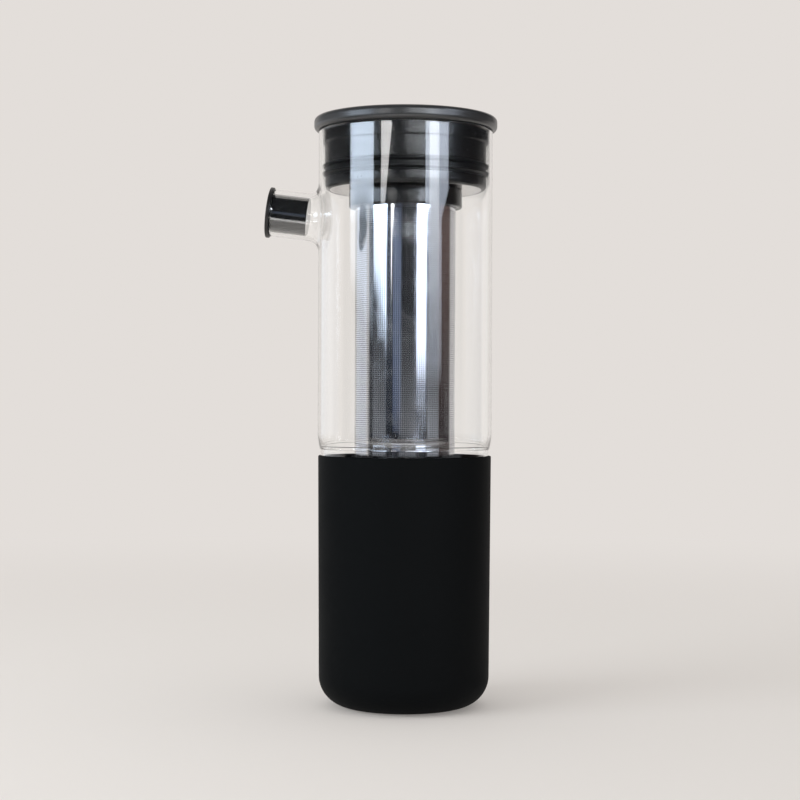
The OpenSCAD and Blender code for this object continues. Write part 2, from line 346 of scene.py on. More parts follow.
def steel_finish(name, colour, polish, streak, haze):
    """Polished steel sheet with streaks along Z. Polish is its lowest roughness."""
    made, tree, shader = start_finish(name, Metallic=1)
    place = put(tree, "ShaderNodeTexCoord")
    squeeze = put(tree, "ShaderNodeMapping", Vector=(place, "Object"), Scale=STREAK_SQUEEZE)
    streaks = put(tree, "ShaderNodeTexNoise", Vector=(squeeze, "Vector"), Scale=STREAK_SCALE, Detail=4,
                  Roughness=0.55)
    hazes = use_group(tree, handling_haze, Scale=55, Amount=haze)
    dull = ramp(tree, (streaks, "Fac"), 0.35, 0.75, polish, polish + STREAK_DULLING)
    total = number(tree, "ADD", dull, (hazes, "Haze"), clamp=True)
    side = put(tree, "ShaderNodeNewGeometry")
    rough = put(tree, "ShaderNodeMix")
    for i, term in ((0, (side, "Backfacing")), (2, total), (3, INSIDE_ROUGHNESS)):
        feed(tree, rough, i, term)
    feed(tree, shader, "Roughness", (rough, 0))
    darker = tuple(value * share for value, share in zip(colour, STREAK_SHADE))
    shade = mixed_colour(tree, (streaks, "Fac"), (*colour, 1), (*darker, 1))
    # Back faces take the painted shade colour instead of the steel.
    feed(tree, shader, "Base Color", mixed_colour(tree, (side, "Backfacing"), shade, HOLE_SHADE_COLOUR))
    bumped = put(tree, "ShaderNodeBump", Strength=streak, Distance=GRAIN_DEPTH, Height=(streaks, "Fac"))
    feed(tree, shader, "Normal", (bumped, "Normal"))
    return made


polished_steel = steel_finish("polished_steel_sheet", (0.64, 0.62, 0.605), 0.07, 0.1, 0.08)
mesh_steel = steel_finish("perforated_steel_sheet", (0.82, 0.83, 0.86), 0.06, 0.3, 0.1)
print("steel finishes:", polished_steel.name, mesh_steel.name)

# %% [markdown]
# ## Clear glass
# Glass needs no texture: it is seen by what it bends and mirrors. The Principled shader with full
# transmission does both. A path tracer finds it hard to send lamp light through glass, so the material
# lets shadow rays straight through, and the lid and infuser inside are lit as they are in a real room.

# %% Clear glass
def glass_finish():
    """Clear blown glass that lets lamp light through."""
    made, tree, shader = start_finish("clear_blown_glass", Base_Color=(0.996, 1, 0.998, 1), Roughness=0,
                                      IOR=1.47, Transmission_Weight=1)
    clear = put(tree, "ShaderNodeBsdfTransparent", Color=(0.97, 0.98, 0.975, 1))
    path = put(tree, "ShaderNodeLightPath")
    choose = mixed_shader(tree, (path, "Is Shadow Ray"), (shader, 0), (clear, 0))
    feed(tree, tree.nodes["Material Output"], "Surface", choose)
    return made


clear_glass = glass_finish()
print("glass finish:", clear_glass.name)

# %% [markdown]
# ## A lathe in Geometry Nodes
# Almost every piece is round: half of its section, turned about an axis, gives its shape. Blender has a
# Spin tool and a Screw modifier for that. Here the lathe is a Geometry Nodes tree: a grid has one row
# for each point of the outline and one column for each step of the turn, and each grid point takes its
# radius and height from the outline's point of the same row. Merging doubles closes the seam and the
# poles, so the result is one skin.

# %% Lathe tree
WELD = 0.002 * MM
WHOLE_NUMBERS = ("Steps", "Columns", "Rows")


def start_tree(name, blank, labels):
    """Begins a Geometry Nodes tree with named inputs: a mesh, its sizes and a finish."""
    tree = bpy.data.node_groups.new(name, "GeometryNodeTree")
    kinds = {blank: "Geometry"}
    kinds.update((label, "Int" if label in WHOLE_NUMBERS else "Float") for label in labels)
    kinds["Finish"] = "Material"
    for label, kind in kinds.items():
        tree.interface.new_socket(label, in_out="INPUT", socket_type="NodeSocket" + kind)
    tree.interface.new_socket("Made", in_out="OUTPUT", socket_type="NodeSocketGeometry")
    return tree, put(tree, "NodeGroupInput"), put(tree, "NodeGroupOutput")


def end_tree(tree, given, out, nodes):
    """Joins a row of nodes and ends the tree with real faces and their finish."""
    finish = put(tree, "GeometryNodeSetMaterial", Material=(given, "Finish"))
    chain_nodes(tree, [*nodes, put(tree, "GeometryNodeRealizeInstances"), finish, out])


def round_point(tree, angle, radius, height):
    """The point at an angle about Z, as a link."""
    x, y = (number(tree, "MULTIPLY", number(tree, wave, angle), radius) for wave in ("COSINE", "SINE"))
    return put(tree, "ShaderNodeCombineXYZ", X=x, Y=y, Z=height), 0


def lathe_tree():
    """Turns a chain of points in the XZ plane about Z."""
    tree, given, out = start_tree("lathe", "Outline", ["Steps"])
    whole = "FunctionNodeIntegerMath"
    count = put(tree, "GeometryNodeAttributeDomainSize", {"component": "MESH"}, Geometry=(given, "Outline"))
    columns = number(tree, "ADD", (given, "Steps"), 1, kind=whole)
    grid = put(tree, "GeometryNodeMeshGrid", Vertices_X=(count, "Point Count"), Vertices_Y=columns)

    index = put(tree, "GeometryNodeInputIndex")
    row = number(tree, "DIVIDE", (index, 0), columns, kind=whole)
    column = number(tree, "MODULO", (index, 0), columns, kind=whole)
    where = put(tree, "GeometryNodeInputPosition")
    sample = put(tree, "GeometryNodeSampleIndex", {"data_type": "FLOAT_VECTOR", "domain": "POINT"},
                 Geometry=(given, "Outline"), Value=(where, 0), Index=row)
    split = put(tree, "ShaderNodeSeparateXYZ", Vector=(sample, "Value"))
    part_turn = number(tree, "DIVIDE", column, (given, "Steps"))
    angle = number(tree, "MULTIPLY", part_turn, 2 * math.pi)
    point = round_point(tree, angle, (split, "X"), (split, "Z"))

    bend = put(tree, "GeometryNodeSetPosition", Position=point)
    weld = put(tree, "GeometryNodeMergeByDistance", Distance=WELD)
    outward = put(tree, "GeometryNodeFlipFaces")
    smooth = put(tree, "GeometryNodeSetShadeSmooth")
    end_tree(tree, given, out, [grid, bend, weld, outward, smooth])
    return tree


lathe = lathe_tree()
print("lathe tree:", len(lathe.nodes), "nodes")

# %% [markdown]
# ## Outlines with soft corners
# No real edge is perfectly sharp, and a small rounding is what catches the light. An outline is written
# as a few corners, each with its radius, height and bend in millimetres. A helper replaces each corner
# by an arc, and adds one more point just outside each end of it, so that smooth shading stays flat on
# the flat faces.

# %% Soft outlines
ARC_STEP = math.radians(11)
ARC_LENGTH = 1.2
FLAT_GUARD = 0.12


def soft_outline(corners, closed=False):
    """Points (radius, height) of an outline whose corners (radius, height, bend) are rounded."""
    points = []
    ends = [Vector(c[:2]) for c in corners]
    for i, (corner, given) in enumerate(zip(ends, corners)):
        bend = given[2]
        if bend == 0 or (not closed and i in (0, len(ends) - 1)):
            points.append(corner)
            continue
        back = ends[i - 1] - corner
        ahead = ends[(i + 1) % len(ends)] - corner
        half = back.angle(ahead) / 2
        cut = bend / math.tan(half)
        start = corner + back.normalized() * cut
        stop = corner + ahead.normalized() * cut
        centre = corner + (back.normalized() + ahead.normalized()).normalized() * bend / math.sin(half)
        turn = (start - centre).angle_signed(stop - centre)
        steps = max(3, math.ceil(abs(turn) / ARC_STEP), math.ceil(abs(turn) * bend / ARC_LENGTH))
        if back.length > cut + 3 * FLAT_GUARD:
            points.append(start + back.normalized() * FLAT_GUARD)
        for k in range(steps + 1):
            spoke = (start - centre).copy()
            spoke.rotate(Matrix.Rotation(-turn * k / steps, 2))
            points.append(centre + spoke)
        if ahead.length > cut + 3 * FLAT_GUARD:
            points.append(stop + ahead.normalized() * FLAT_GUARD)
    if closed:
        points.append(points[0])
    return points


trial = soft_outline([(0, 0, 0), (10, 0, 2), (10, 5, 0)])
print("an outline of three corners has", len(trial), "points")

# %% [markdown]
# ## From a tree to a plain mesh
# A modifier with a node tree is live: it runs again whenever something changes. The finished pieces are
# plain meshes, so each one is read once from the evaluated object and put in a new object, which sits
# at the origin with its place in its mesh. Then it is told which body it moves with, and the solid it
# stands for is hidden.

# %% Finishing a piece
def set_inputs(modifier, **values):
    """Sets a tree's inputs by their sockets' identifiers."""
    for item in modifier.node_group.interface.items_tree:
        label = item.name.replace(" ", "_")
        if item.in_out == "INPUT" and label in values:
            modifier[item.identifier] = values[label]


def plain_mesh(maker, name):
    """Reads a live object once as a plain mesh, and removes the object."""
    bpy.context.view_layer.update()
    seen = maker.evaluated_get(bpy.context.evaluated_depsgraph_get())
    mesh = bpy.data.meshes.new_from_object(seen)
    mesh.name = name
    bpy.data.objects.remove(maker)
    return mesh


def finish_piece(name, mesh, body, node):
    """Makes the object, lets it ride on its body, hides the solid it stands for, and measures it."""
    piece = bpy.data.objects.new(name, mesh)
    scene.collection.objects.link(piece)
    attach(piece, body)
    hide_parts(node)
    mesh.calc_loop_triangles()
    solid = bmesh.new()
    solid.from_mesh(mesh)
    open_edges = sum(not edge.is_manifold for edge in solid.edges)
    volume = solid.calc_volume(signed=True) / MM ** 3
    solid.free()
    print(f"{name}: {len(mesh.loop_triangles)} triangles, {open_edges} open edges, {volume:.0f} mm3")


def turned_piece(name, corners, finish, body, node, closed=False, steps=128, place=None):
    """Turns an outline on the lathe and finishes it. Place moves it from the Z axis."""
    points = soft_outline(corners, closed)
    outline = bpy.data.meshes.new(name + "_outline")
    outline.from_pydata([(r * MM, 0, z * MM) for r, z in points], [], [])
    maker = bpy.data.objects.new(name + "_maker", outline)
    scene.collection.objects.link(maker)
    modifier = maker.modifiers.new("lathe", "NODES")
    modifier.node_group = lathe
    set_inputs(modifier, Steps=steps, Finish=finish)
    mesh = plain_mesh(maker, name)
    if place:
        mesh.transform(place)
    finish_piece(name, mesh, body, node)


print("ready to turn pieces")

# %% [markdown]
# ## The silicone cup
# The cup covers the lower two fifths of the glass. It opens a little towards the top, so that it leaves
# its mould, has a large round corner at the base, and ends in a thin rounded lip that shows as a pale
# line. All of that is in its outline, so the lathe makes it in one go.

# %% Silicone cup
CUP_BASE_R = 42.2
CUP_LIP_R = 43.0
CUP_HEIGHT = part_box("silicone_sleeve")[1].z / MM
CUP_WALL = 1.1
CUP_FLOOR = 2.5
CUP_CORNER = 14.8

turned_piece("sleeve_cup", [
    (0, 0, 0),
    (CUP_BASE_R, 0, CUP_CORNER),
    (CUP_LIP_R, CUP_HEIGHT, 0.5),
    (CUP_LIP_R - CUP_WALL, CUP_HEIGHT, 0.5),
    (CUP_BASE_R - CUP_WALL, CUP_FLOOR, CUP_CORNER - CUP_WALL),
    (0, CUP_FLOOR, 0),
], silicone_black, "sleeve", "silicone_sleeve", steps=160)

# %% [markdown]
# ## The glass vessel
# The glass is one piece: a straight tube that bows in and turns under just above the cup, with a short
# spout fused to its side. A boolean could join the spout to the wall, but it leaves a hard seam and
# broken shading, which clear glass shows at once. So the skin is built row by row. The section runs up
# the outside, over the rim and down the inside, and is turned about Z with a window left open on both
# skins. From the edge of the outer window, rows of points run in towards the spout, out along it, round
# its mouth, back through its bore, and end on the edge of the inner window. The inner flare is wider
# than the outer one by about the wall, as in blown glass, where the wall keeps its thickness.

# %% Glass sizes
glass_low, glass_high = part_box("glass_body")
GLASS_R = glass_high.x / MM
RIM_Z = glass_high.z / MM
GLASS_Z = glass_low.z / MM
GLASS_WALL = 1.6
GLASS_FLOOR = 3.2
RIM_ROUNDING = 0.49
NECK_R = 41.7
NECK_BASE_R = 40.9
FLOOR_CORNER = 13.7
SHOULDER_Z = 127.2
SHOULDER_RISE = 9.0
SHOULDER_DRAW = 1.2
SHOULDER_TURN = 0.25
SHOULDER_FILLET = 0.12
BOW_CROSSING = 0.58

SPOUT_R = 11.7
SPOUT_WALL = 1.9
SPOUT_REACH = 23.4
SPOUT_Z = 242.0
SPOUT_TILT = math.radians(7)
OUTER_FLARE = 6.0
INNER_FLARE = 7.8

WINDOW_STEPS = 22
WINDOW_HALF_HEIGHT = 19.0
TURN_STEPS = 144
print(f"glass: {2 * GLASS_R:.1f} mm across, rim at {RIM_Z:.1f} mm")

# %% Glass section
def shoulder(r_low, r_high, z_low):
    """The corners where the wide wall bows in, turns under and meets the narrow one, from the low end."""
    top_z = SHOULDER_Z + SHOULDER_RISE
    cross_z = z_low + BOW_CROSSING * (top_z - z_low)
    lean = math.atan2(SHOULDER_DRAW, cross_z - z_low)
    bow = (top_z - cross_z) / math.tan(lean / 2)
    return [(r_low, z_low, SHOULDER_FILLET), (r_high - SHOULDER_DRAW, z_low, SHOULDER_TURN),
            (r_high, cross_z, bow)]


def window_rows(radius):
    """The heights of the rows beside the spout's window, from low to high."""
    step = 2 * WINDOW_HALF_HEIGHT / WINDOW_STEPS
    return [(radius, SPOUT_Z - WINDOW_HALF_HEIGHT + step * i, 0) for i in range(WINDOW_STEPS + 1)]


bore_r = GLASS_R - GLASS_WALL
inner_z = GLASS_Z + GLASS_FLOOR
rim_bend = GLASS_WALL * RIM_ROUNDING
outside = [(0, GLASS_Z, 0), (NECK_BASE_R, GLASS_Z, FLOOR_CORNER)]
outside += shoulder(NECK_R, GLASS_R, SHOULDER_Z) + window_rows(GLASS_R) + [(GLASS_R, RIM_Z, rim_bend)]
inside = [(bore_r, RIM_Z, rim_bend)] + window_rows(bore_r)[::-1]
inside += shoulder(NECK_R - GLASS_WALL, bore_r, SHOULDER_Z + GLASS_WALL)[::-1]
inside += [(NECK_BASE_R - GLASS_WALL, inner_z, FLOOR_CORNER - GLASS_WALL), (0, inner_z, 0)]
section = soft_outline(outside + inside)
print("glass section:", len(section), "points")

# %% Glass skin with two windows
ROW_TOLERANCE = 0.01
window_low = SPOUT_Z - WINDOW_HALF_HEIGHT - ROW_TOLERANCE
window_high = SPOUT_Z + WINDOW_HALF_HEIGHT + ROW_TOLERANCE
half_window = WINDOW_STEPS // 2


def rows_at(radius):
    """The rows of the section that lie beside the window on one skin."""
    return [i for i, (r, z) in enumerate(section)
            if abs(r - radius) < ROW_TOLERANCE and window_low < z < window_high]


def turned_point(row, column):
    """A point of the section, turned. Column 0 faces the spout."""
    angle = math.pi + 2 * math.pi * column / TURN_STEPS
    r, z = section[row]
    return Vector((r * math.cos(angle), r * math.sin(angle), z))


glass = bmesh.new()
grid = {}
for row, (r, z) in enumerate(section):
    pole = glass.verts.new(turned_point(row, 0)) if r == 0 else None
    for column in range(TURN_STEPS):
        grid[row, column] = pole or glass.verts.new(turned_point(row, column))

outer_rows = rows_at(GLASS_R)
inner_rows = rows_at(bore_r)
window_columns = set(range(-half_window, half_window))
for row in range(len(section) - 1):
    beside = any({row, row + 1} <= set(rows) for rows in (outer_rows, inner_rows))
    for column in range(-half_window, TURN_STEPS - half_window):
        if beside and column in window_columns:
            continue
        left, after = column % TURN_STEPS, (column + 1) % TURN_STEPS
        loop = [grid[row, left], grid[row, after], grid[row + 1, after], grid[row + 1, left]]
        glass.faces.new(list(dict.fromkeys(loop)))
print("glass skin:", len(glass.faces), "faces around two windows of", WINDOW_STEPS, "steps")

# %% Spout fused into the windows
WALL_ROWS = 6
FLARE_ROWS = 10
MOUTH_STEPS = 12
TUBE_SHARES = (0.05, 0.35, 0.65, 0.95)

spout_axis = Vector((-math.cos(SPOUT_TILT), 0, math.sin(SPOUT_TILT)))
spout_up = Vector((math.sin(SPOUT_TILT), 0, math.cos(SPOUT_TILT)))
spout_side = Vector((0, 1, 0))
spout_start = Vector((-GLASS_R, 0, SPOUT_Z))


def on_wall(radius, side, lift):
    """The point of a round wall that lies at these offsets from the spout's axis."""
    depth = math.sqrt(radius * radius - side * side)
    along = (depth - GLASS_R + lift * math.sin(SPOUT_TILT)) / math.cos(SPOUT_TILT)
    return spout_start + spout_axis * along + spout_side * side + spout_up * lift


def fused_rows(edge, radius, tube_r, flare):
    """Points from the window's edge over the wall and the flare to the spout's tube."""
    offset = edge - spout_start
    side, lift = offset.dot(spout_side), offset.dot(spout_up)
    spoke = math.hypot(side, lift)
    side, lift = side / spoke, lift / spoke
    points = []
    for k in range(1, WALL_ROWS):
        reach = spoke + (tube_r + flare - spoke) * k / WALL_ROWS
        points.append(on_wall(radius, side * reach, lift * reach))
    foot = on_wall(radius, side * (tube_r + flare), lift * (tube_r + flare))
    corner = on_wall(radius, side * tube_r, lift * tube_r)
    head = corner + spout_axis * flare
    for k in range(FLARE_ROWS):
        t = k / (FLARE_ROWS - 1)
        points.append(foot * (1 - t) ** 2 + corner * 2 * t * (1 - t) + head * t * t)
    return points, side, lift


def tube_point(radius, along, side, lift):
    """A point of the spout's tube, by its distance from the vessel."""
    return spout_start + spout_axis * along + (spout_side * side + spout_up * lift) * radius


def spout_rows(edge_out, edge_in):
    """All points of one section of the spout, from the outer window to the inner one."""
    outer, side, lift = fused_rows(edge_out, GLASS_R, SPOUT_R, OUTER_FLARE)
    inner, _, _ = fused_rows(edge_in, bore_r, SPOUT_R - SPOUT_WALL, INNER_FLARE)
    mouth = SPOUT_REACH - SPOUT_WALL / 2
    rim = []
    for k in range(MOUTH_STEPS + 1):
        turn = math.pi * k / MOUTH_STEPS
        rim.append(tube_point(SPOUT_R - SPOUT_WALL / 2 * (1 - math.cos(turn)),
                              mouth + SPOUT_WALL / 2 * math.sin(turn), side, lift))
    rest = [outer[-1].lerp(rim[0], share) for share in TUBE_SHARES]
    back = [rim[-1].lerp(inner[-1], share) for share in TUBE_SHARES]
    return outer + rest + rim + back + inner[::-1]


def window_edge(rows):
    """The window's edge points on one skin, once round. Rows run from low to high."""
    low, high = rows[0], rows[-1]
    edge = [(low, c) for c in range(-half_window, half_window)]
    edge += [(r, half_window) for r in rows[:-1]]
    edge += [(high, c) for c in range(half_window, -half_window, -1)]
    edge += [(r, -half_window) for r in rows[:0:-1]]
    return [grid[row, column % TURN_STEPS] for row, column in edge]


outer_edge = window_edge(outer_rows)
inner_edge = window_edge(inner_rows[::-1])
strips = []
for start, end in zip(outer_edge, inner_edge):
    middle = [glass.verts.new(p) for p in spout_rows(start.co, end.co)]
    strips.append([start, *middle, end])
for strip, beside in zip(strips, strips[1:] + strips[:1]):
    for k in range(len(strip) - 1):
        glass.faces.new((strip[k], beside[k], beside[k + 1], strip[k + 1]))
for face in glass.faces:
    face.smooth = True
print("spout:", len(strips), "strips of", len(strips[0]), "points")

# %% Glass piece
glass_mesh = bpy.data.meshes.new("glass_vessel")
glass.to_mesh(glass_mesh)
glass.free()
glass_mesh.transform(Matrix.Scale(MM, 4))
glass_mesh.materials.append(clear_glass)
finish_piece("glass_vessel", glass_mesh, "vessel", "glass_body")

# %% [markdown]
# ## The lid
# Five round pieces make the lid: a thick satin disc, a glossy plug that goes down into the neck, a
# silicone gasket with two fins in a groove of the plug, a mirror-bright plate under it, and an O-ring
# on the boss that the infuser hangs from. Each is one outline for the lathe. The disc and plug could be
# one mesh, but they are separate mouldings, and the line between them shows.

# %% Lid disc
LID_Z = 285.2
LID_TOP_Z = lid_top / MM
LID_R = 45.55
SPIGOT_R = 36.45
SPIGOT_WALL = 2.0
SPIGOT_Z = 276.2

turned_piece("lid_disc", [
    (0, LID_Z, 0),
    (SPIGOT_R - SPIGOT_WALL, LID_Z, 0.4),
    (SPIGOT_R - SPIGOT_WALL, SPIGOT_Z, 0.4),
    (SPIGOT_R, SPIGOT_Z, 0.4),
    (SPIGOT_R, LID_Z, 0.2),
    (LID_R, LID_Z, 2.2),
    (LID_R, LID_TOP_Z, 2.2),
    (0, LID_TOP_Z, 0),
], lid_black, "lid", "lid_cover", steps=160)

# %% Lid plug
PLUG_R = 40.1
PLUG_Z = 255.7
PLUG_BAND_R = 41.2
PLUG_BAND_Z = 278.3
PLUG_BORE_R = 36.5
PLUG_FLOOR_Z = 256.5
PLUG_WALL = 2.4
PLATE_R = 37.9
GROOVE_R = 38.9
GROOVE_Z = 261.3
GROOVE_TOP_Z = 268.3
BOSS_R = 22.55
BOSS_Z = 248.1
BOSS_BORE_R = 18.15
O_RING_R = 21.8
O_RING_Z = 251.9
RING_GROOVE_DEPTH = 0.9
RING_GROOVE_FLOOR = 0.55
RING_GROOVE_MOUTH = 0.8

turned_piece("lid_plug_body", [
    (0, BOSS_Z, 0),
    (BOSS_R, BOSS_Z, 0.3),
    (BOSS_R, O_RING_Z - RING_GROOVE_MOUTH, 0.1),
    (O_RING_R - RING_GROOVE_DEPTH, O_RING_Z - RING_GROOVE_FLOOR, 0.4),
    (O_RING_R - RING_GROOVE_DEPTH, O_RING_Z + RING_GROOVE_FLOOR, 0.4),
    (BOSS_R, O_RING_Z + RING_GROOVE_MOUTH, 0.1),
    (BOSS_R, PLUG_FLOOR_Z, 0.2),
    (PLATE_R, PLUG_FLOOR_Z, 0.2),
    (PLATE_R, PLUG_Z, 0.2),
    (PLUG_R, PLUG_Z, 1.8),
    (PLUG_R, GROOVE_Z, 0.2),
    (GROOVE_R, GROOVE_Z, 0.2),
    (GROOVE_R, GROOVE_TOP_Z, 0.2),
    (PLUG_R, GROOVE_TOP_Z, 0.2),
    (PLUG_R, PLUG_BAND_Z, 0.3),
    (PLUG_BAND_R, PLUG_BAND_Z, 0.4),
    (PLUG_BAND_R, LID_Z, 0.3),
    (PLUG_BORE_R, LID_Z, 0.2),
    (PLUG_BORE_R, PLUG_FLOOR_Z + PLUG_WALL, 0.4),
    (BOSS_BORE_R, PLUG_FLOOR_Z + PLUG_WALL, 0.4),
    (BOSS_BORE_R, BOSS_Z + PLUG_WALL, 0.4),
    (0, BOSS_Z + PLUG_WALL, 0),
], plug_black, "lid", "lid_plug", steps=160)

# %% Lid gasket
SLACK = 0.05
FIN_R = 41.4
FIN_FIRST_Z = 262.95
FIN_PITCH = 3.7
FIN_ROOT = 1.4
FIN_TIP = 0.6
GASKET_R = 40.05
GASKET_INNER_R = 38.95

gasket_z = GROOVE_Z + SLACK
gasket_top_z = GROOVE_TOP_Z - SLACK
gasket_corners = [(GASKET_INNER_R, gasket_z, 0.2), (GASKET_R, gasket_z, 0.2)]
for fin in range(2):
    fin_z = FIN_FIRST_Z + fin * FIN_PITCH
    gasket_corners += [
        (GASKET_R, fin_z - FIN_ROOT / 2, 0.15),
        (FIN_R, fin_z + FIN_ROOT / 2 - FIN_TIP, 0.2),
        (FIN_R, fin_z + FIN_ROOT / 2, 0.2),
        (GASKET_R, fin_z + FIN_ROOT / 2, 0.15),
    ]
gasket_corners += [(GASKET_R, gasket_top_z, 0.2), (GASKET_INNER_R, gasket_top_z, 0.2)]
turned_piece("lid_fin_gasket", gasket_corners, seal_black, "lid", "lid_gasket",
             closed=True, steps=160)

# %% Lid plate and O-ring
O_RING_HALF = 1
O_RING_BEND = 0.96

turned_piece("lid_mirror_plate", [
    (BOSS_R + SLACK, PLUG_Z, 0.15),
    (PLATE_R - SLACK, PLUG_Z, 0.15),
    (PLATE_R - SLACK, PLUG_FLOOR_Z, 0.15),
    (BOSS_R + SLACK, PLUG_FLOOR_Z, 0.15),
], polished_steel, "lid", "lid_base_plate", closed=True)

turned_piece("boss_o_ring", [
    (O_RING_R - O_RING_HALF, O_RING_Z - O_RING_HALF, O_RING_BEND),
    (O_RING_R + O_RING_HALF, O_RING_Z - O_RING_HALF, O_RING_BEND),
    (O_RING_R + O_RING_HALF, O_RING_Z + O_RING_HALF, O_RING_BEND),
    (O_RING_R - O_RING_HALF, O_RING_Z + O_RING_HALF, O_RING_BEND),
], seal_black, "lid", "collar_o_ring", closed=True)

# %% [markdown]
# ## The infuser
# The infuser is a tube of thin steel with a fine square grid of holes about a millimetre apart, held by
# a black collar at the top and a steel ring at the foot. Thousands of holes could be painted with a
# material, but holes that are cut into the outer face look right from close by. A Geometry Nodes tree
# starts from a flat grid, gives each face a smaller copy of itself, deletes the copies, and rolls the
# sheet into a tube. Two bands without holes are left where the collar and foot grip the sheet. On the
# real tube the holes go through. Here the sheet's inner face is left whole, half a millimetre behind
# them, as a sheet of painted shade: its back is painted dark, which keeps the holes dark, and no grid
# from the far side shows through to beat with the near one.

# %% Infuser collar and foot
TUBE_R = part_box("infuser_tube")[1].x / MM
TUBE_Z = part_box("infuser_tube")[0].z / MM
TUBE_TOP_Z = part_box("infuser_tube")[1].z / MM
SHEET = 0.5
COLLAR_R = 28.1
COLLAR_BORE_R = 23.05
COLLAR_Z = 246.9
COLLAR_TOP_Z = 255.5
FOOT_Z = 97.9
FOOT_TOP_Z = 105.9
FOOT_LIP_R = 22.0

turned_piece("infuser_collar_ring", [
    (COLLAR_BORE_R, COLLAR_Z, 0.3),
    (TUBE_R - SHEET - SLACK, COLLAR_Z, 0.2),
    (TUBE_R - SHEET - SLACK, TUBE_TOP_Z + SLACK, 0.1),
    (TUBE_R + SLACK, TUBE_TOP_Z + SLACK, 0.1),
    (TUBE_R + SLACK, COLLAR_Z, 0.2),
    (COLLAR_R, COLLAR_Z, 0.8),
    (COLLAR_R, COLLAR_TOP_Z, 0.8),
    (COLLAR_BORE_R, COLLAR_TOP_Z, 0.3),
], plug_black, "infuser", "infuser_collar", closed=True)

turned_piece("infuser_foot", [
    (FOOT_LIP_R, FOOT_Z, 0.15),
    (TUBE_R + SLACK + SHEET, FOOT_Z, 0.4),
    (TUBE_R + SLACK + SHEET, FOOT_TOP_Z, 0.15),
    (TUBE_R + SLACK, FOOT_TOP_Z, 0.15),
    (TUBE_R + SLACK, FOOT_Z + SHEET, 0.1),
    (FOOT_LIP_R, FOOT_Z + SHEET, 0.15),
], polished_steel, "infuser", "infuser_foot_ring", closed=True)

# %% Perforated tube tree
def pierce(tree, sheet, selection, given):
    """Cuts a hole in each selected face of a sheet, as a smaller copy that is deleted."""
    copies = put(tree, "GeometryNodeExtrudeMesh", {"mode": "FACES"}, Selection=selection, Offset_Scale=0,
                 Individual=True)
    shrink = put(tree, "GeometryNodeScaleElements", {"domain": "FACE"}, Selection=(copies, "Top"),
                 Scale=(given, "Hole Share"))
    cut = put(tree, "GeometryNodeDeleteGeometry", {"domain": "FACE", "mode": "ONLY_FACE"},
              Selection=(copies, "Top"))
    chain_nodes(tree, [sheet, copies, shrink, cut])
    return cut


def lifted(tree, height):
    """A node that raises a mesh by a height."""
    lift = put(tree, "ShaderNodeCombineXYZ", Z=height)
    return put(tree, "GeometryNodeSetPosition", Offset=(lift, 0))


def shade_lining(tree, given, height, middle):
    """The whole inner face of a tube's sheet, which faces the axis: a sheet of painted shade behind the
    holes.
    """
    face = put(tree, "GeometryNodeMeshCylinder", {"fill_type": "NONE"}, Vertices=(given, "Columns"),
               Radius=number(tree, "SUBTRACT", (given, "Radius"), (given, "Wall")), Depth=height)
    turned = put(tree, "GeometryNodeFlipFaces")
    chain_nodes(tree, [face, lifted(tree, middle), turned])
    return turned


def tube_tree():
    """A sheet with a square grid of holes, rolled into a tube about Z."""
    tree, given, out = start_tree(
        "perforated_tube", "Blank", ["Radius", "Wall", "Bottom", "Top", "Holes From", "Holes To",
                                     "Hole Share", "Columns", "Rows"])
    height = number(tree, "SUBTRACT", (given, "Top"), (given, "Bottom"))
    middle = number(tree, "MULTIPLY", number(tree, "ADD", (given, "Top"), (given, "Bottom")), 0.5)
    sheet = put(tree, "GeometryNodeMeshGrid", Size_X=2 * math.pi, Size_Y=height,
                Vertices_X=number(tree, "ADD", (given, "Columns"), 1),
                Vertices_Y=number(tree, "ADD", (given, "Rows"), 1))
    where = put(tree, "GeometryNodeInputPosition")
    split = put(tree, "ShaderNodeSeparateXYZ", Vector=(where, 0))
    level = number(tree, "ADD", (split, "Y"), middle)
    above = number(tree, "GREATER_THAN", level, (given, "Holes From"))
    below = number(tree, "LESS_THAN", level, (given, "Holes To"))
    pierced = pierce(tree, sheet, number(tree, "MULTIPLY", above, below), given)
    point = round_point(tree, (split, "X"), (given, "Radius"), level)
    roll = put(tree, "GeometryNodeSetPosition", Position=point)
    weld = put(tree, "GeometryNodeMergeByDistance", Distance=WELD)
    both = put(tree, "GeometryNodeJoinGeometry")
    # The inner face is a whole sheet of painted shade that keeps the holes dark.
    chain_nodes(tree, [shade_lining(tree, given, height, middle), both])
    end_tree(tree, given, out, [pierced, roll, weld, both, put(tree, "GeometryNodeSetShadeSmooth")])
    return tree


perforated_tube = tube_tree()
print("perforated tube tree:", len(perforated_tube.nodes), "nodes")

# %% Perforated tube
HOLE_PITCH = 1.022
HOLE_SHARE = 0.48
FOOT_MARGIN = 0.8
COLLAR_MARGIN = 1.4


def tree_piece(name, tree, body, node, slot, thickness=0, **values):
    """Runs a tree on an empty mesh and finishes the result, with a wall where one is asked for."""
    maker = bpy.data.objects.new(name + "_maker", bpy.data.meshes.new(name + "_blank"))
    scene.collection.objects.link(maker)
    modifier = maker.modifiers.new("sheet", "NODES")
    modifier.node_group = tree
    set_inputs(modifier, **values)
    if thickness:
        wall = maker.modifiers.new("wall", "SOLIDIFY")
        wall.thickness = thickness
        wall.offset = 0
    finish_piece(name, plain_mesh(maker, name), body, node)


tree_piece(
    "infuser_mesh_tube", perforated_tube, "infuser", "infuser_tube", "perforated_steel",
    Radius=TUBE_R * MM, Wall=SHEET * MM, Bottom=TUBE_Z * MM, Top=TUBE_TOP_Z * MM,
    Holes_From=(FOOT_TOP_Z + FOOT_MARGIN) * MM, Holes_To=(COLLAR_Z - COLLAR_MARGIN) * MM,
    Hole_Share=HOLE_SHARE, Columns=round(2 * math.pi * TUBE_R / HOLE_PITCH),
    Rows=round((TUBE_TOP_Z - TUBE_Z) / HOLE_PITCH), Finish=mesh_steel)

